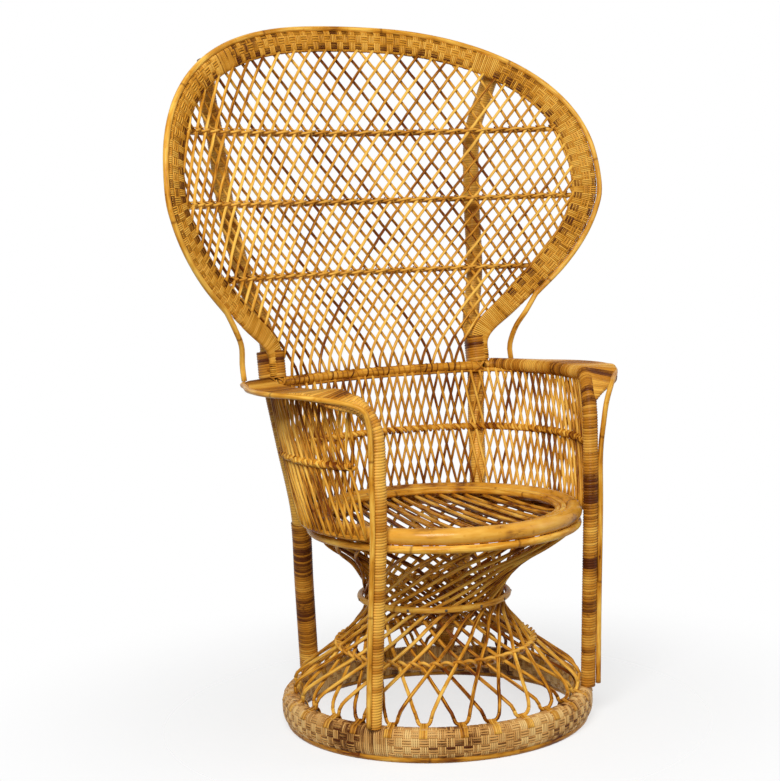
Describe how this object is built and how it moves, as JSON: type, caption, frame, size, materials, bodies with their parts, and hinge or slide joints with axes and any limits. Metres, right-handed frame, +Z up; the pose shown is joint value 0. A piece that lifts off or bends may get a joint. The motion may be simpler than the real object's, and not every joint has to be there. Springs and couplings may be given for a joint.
{
  "type": "peacock chair",
  "caption": "Peacock chair of bent rattan with a tall rounded hood of diamond lattice, wide wrapped arms, a round seat and an hourglass base of slanted rods.",
  "frame": {"origin": "middle of the bounding box, at the floor", "axes": "+Z up, the sitter faces -Y, +X to the sitter's left"},
  "size_m": [1.061, 0.6938, 1.4999],
  "materials": {
    "rattan_gold": "varnished",
    "rattan_honey": "varnished",
    "cane_brown": "satin",
    "bamboo_dark": "satin",
    "nail": "dulled"
  },
  "bodies": {
    "root": {"floor_hoop": "rattan_honey", "base_border": "cane_brown", "base_rods_outer": "rattan_gold", "base_rods_inner": "rattan_honey", "skirt_hoop": "cane_brown", "waist_hoop": "rattan_gold", "waist_nail_1": "nail", "waist_nail_2": "nail", "waist_nail_3": "nail", "waist_nail_4": "nail", "seat_ring": "rattan_gold", "seat_under_hoop": "rattan_honey", "seat_rods_upper": "rattan_honey", "seat_rods_lower": "cane_brown", "seat_inner_hoop": "rattan_gold", "back_rail": "rattan_honey", "hood_rim_rod": "rattan_gold", "hood_border": "cane_brown", "hood_lattice_front": "rattan_gold", "hood_lattice_back": "rattan_honey", "hood_stay_bottom": "rattan_honey", "hood_stay_middle": "rattan_honey", "hood_stay_top": "rattan_honey", "left_arm_pole": "rattan_honey", "left_edge_rod": "rattan_gold", "left_arm_deck": "cane_brown", "left_upright": "bamboo_dark", "left_leg_wrap": "cane_brown", "left_rear_leg_wrap": "bamboo_dark", "left_neck_binding": "cane_brown", "right_arm_pole": "rattan_honey", "right_edge_rod": "rattan_gold", "right_arm_deck": "cane_brown", "right_upright": "bamboo_dark", "right_leg_wrap": "cane_brown", "right_rear_leg_wrap": "bamboo_dark", "right_neck_binding": "cane_brown", "gallery_rods_inner": "rattan_gold", "gallery_rods_outer": "rattan_honey", "gallery_mid_hoop": "cane_brown"}
  },
  "joints": []
}
